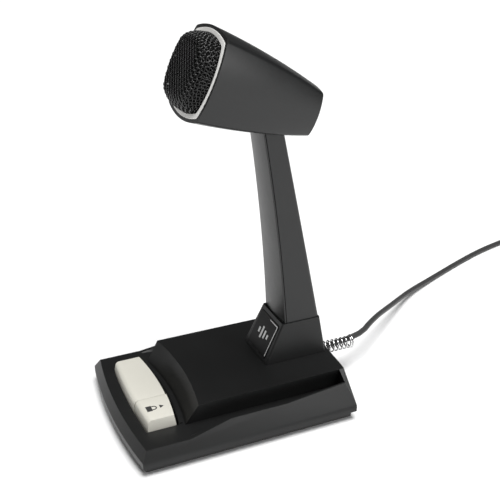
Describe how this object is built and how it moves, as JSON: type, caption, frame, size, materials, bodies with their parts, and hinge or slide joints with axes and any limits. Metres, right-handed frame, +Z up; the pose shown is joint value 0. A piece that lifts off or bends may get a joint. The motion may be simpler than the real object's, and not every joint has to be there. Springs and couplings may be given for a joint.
{
  "type": "desktop paging microphone",
  "caption": "Desktop microphone on a leaning stem: low wedge base with a cream talk bar and a sliding lock cap, tapered head with a wire grille, and a cord with a round plug.",
  "frame": {"origin": "centre of the base's footprint, on the surface that the rubber feet stand on", "axes": "+Z up; -Y towards the talker, where the talk bar is; +Y towards the cord; +X to the talker's right, the lock cap's side"},
  "size_m": [0.184, 0.4692, 0.2403],
  "materials": {
    "black_moulding": "satin black moulded plastic with a fine grain",
    "black_plate": "black painted steel base plate",
    "rubber": "matte black rubber",
    "screw_steel": "zinc plated screws",
    "plated_steel": "plated steel",
    "cream_plastic": "cream moulded plastic",
    "spring_steel": "spring wire",
    "brass": "turned brass",
    "board": "green circuit board laminate",
    "gloss_black": "glossy black",
    "off_white_ring": "off-white trim ring",
    "black_mesh": "black painted woven wire",
    "foam": "dark open-cell foam",
    "lead_jacket": "grey lead jacket",
    "chrome_wire": "bright chrome",
    "cord_jacket": "dark grey cord jacket"
  },
  "bodies": {
    "base": {"base_housing": "black_moulding", "bottom_plate": "black_plate", "rubber_feet": "rubber", "base_screws": "screw_steel", "ballast_plate": "plated_steel", "ballast_screws": "screw_steel", "bar_guide": "black_moulding", "return_springs": "spring_steel", "guide_screws": "screw_steel", "switch_body": "black_moulding", "switch_lugs": "plated_steel", "board_standoffs": "brass", "circuit_board": "board", "board_screws": "screw_steel", "output_transformer": "plated_steel", "capacitors": "gloss_black", "terminal_strip": "cream_plastic", "pedestal": "black_moulding", "badge_plate": "gloss_black", "pedestal_screws": "screw_steel", "stem_shell": "black_moulding", "stem_cover": "black_moulding", "stem_screws": "screw_steel", "head_shell": "black_moulding", "accent_ring": "off_white_ring", "grille": "black_mesh", "foam_screen": "foam", "baffle": "black_moulding", "capsule_mount": "rubber", "mic_capsule": "plated_steel", "head_bracket": "plated_steel", "bracket_screws": "screw_steel", "head_lead": "lead_jacket", "cord_clamp": "black_moulding", "clamp_cap": "black_moulding", "clamp_screws": "screw_steel", "strain_relief": "chrome_wire", "cord": "cord_jacket", "cord_coil": "cord_jacket", "cord_tail": "cord_jacket", "plug_boot": "rubber", "plug_shell": "gloss_black", "plug_nose": "chrome_wire", "plug_insert": "black_moulding", "plug_pins": "brass"},
    "talk_bar": {"talk_bar": "cream_plastic"},
    "lock_slide": {"lock_slide": "cream_plastic"},
    "switch_plunger": {"switch_plunger": "cream_plastic"}
  },
  "joints": [
    {"name": "talk_press", "type": "slide", "parent": "base", "child": "talk_bar", "axis": [0, 0, -1], "range_m": [0, 0.0025], "stiffness_N_per_m": 900, "springref_m": -0.002, "deforming": ["return_springs"]},
    {"name": "lock_travel", "type": "slide", "parent": "talk_bar", "child": "lock_slide", "axis": [0, 1, 0], "range_m": [0, 0.0012]},
    {"name": "plunger_press", "type": "slide", "parent": "base", "child": "switch_plunger", "axis": [0, 0, -1], "range_m": [0, 0.0025]}
  ],
  "couplings": [
    {"joint": "plunger_press", "follows": "talk_press", "ratio": 1}
  ]
}
